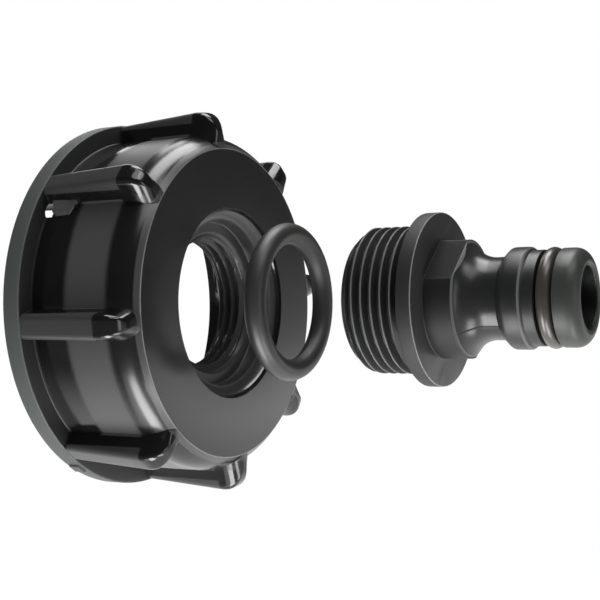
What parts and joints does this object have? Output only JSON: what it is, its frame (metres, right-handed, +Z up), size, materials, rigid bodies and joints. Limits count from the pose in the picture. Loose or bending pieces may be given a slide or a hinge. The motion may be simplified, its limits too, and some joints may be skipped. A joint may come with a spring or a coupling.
{
  "type": "ibc tap adapter",
  "caption": "Ribbed tank cap with a coarse inner thread, a loose sealing ring and a threaded hose nipple, laid out apart along one axis.",
  "frame": {"origin": "centre of the cap's open tank end", "axes": "+X along the common axis from the tank end to the hose nipple, +Z up as the adapter is shown"},
  "size_m": [0.0961, 0.0744, 0.0744],
  "materials": {
    "cap": "moulded polypropylene, glossy barrel, matt face and rim",
    "tank_seal": "matt rubber",
    "connector": "satin moulded plastic",
    "seal_ring": "satin rubber",
    "nipple_ring": "satin rubber"
  },
  "bodies": {
    "cap": {"cap": "cap", "tank_seal": "tank_seal"},
    "connector": {"connector": "connector", "nipple_ring": "nipple_ring"},
    "seal_ring": {"seal_ring": "seal_ring"}
  },
  "joints": [
    {"name": "connector_travel", "type": "slide", "parent": "cap", "child": "connector", "axis": [1, 0, 0], "range_m": [-0.0422, 0]},
    {"name": "ring_travel", "type": "slide", "parent": "cap", "child": "seal_ring", "axis": [1, 0, 0], "range_m": [-0.01565, 0], "deforming": ["seal_ring"]}
  ],
  "couplings": [
    {"joint": "ring_travel", "follows": "connector_travel", "ratio": 0.37085}
  ]
}
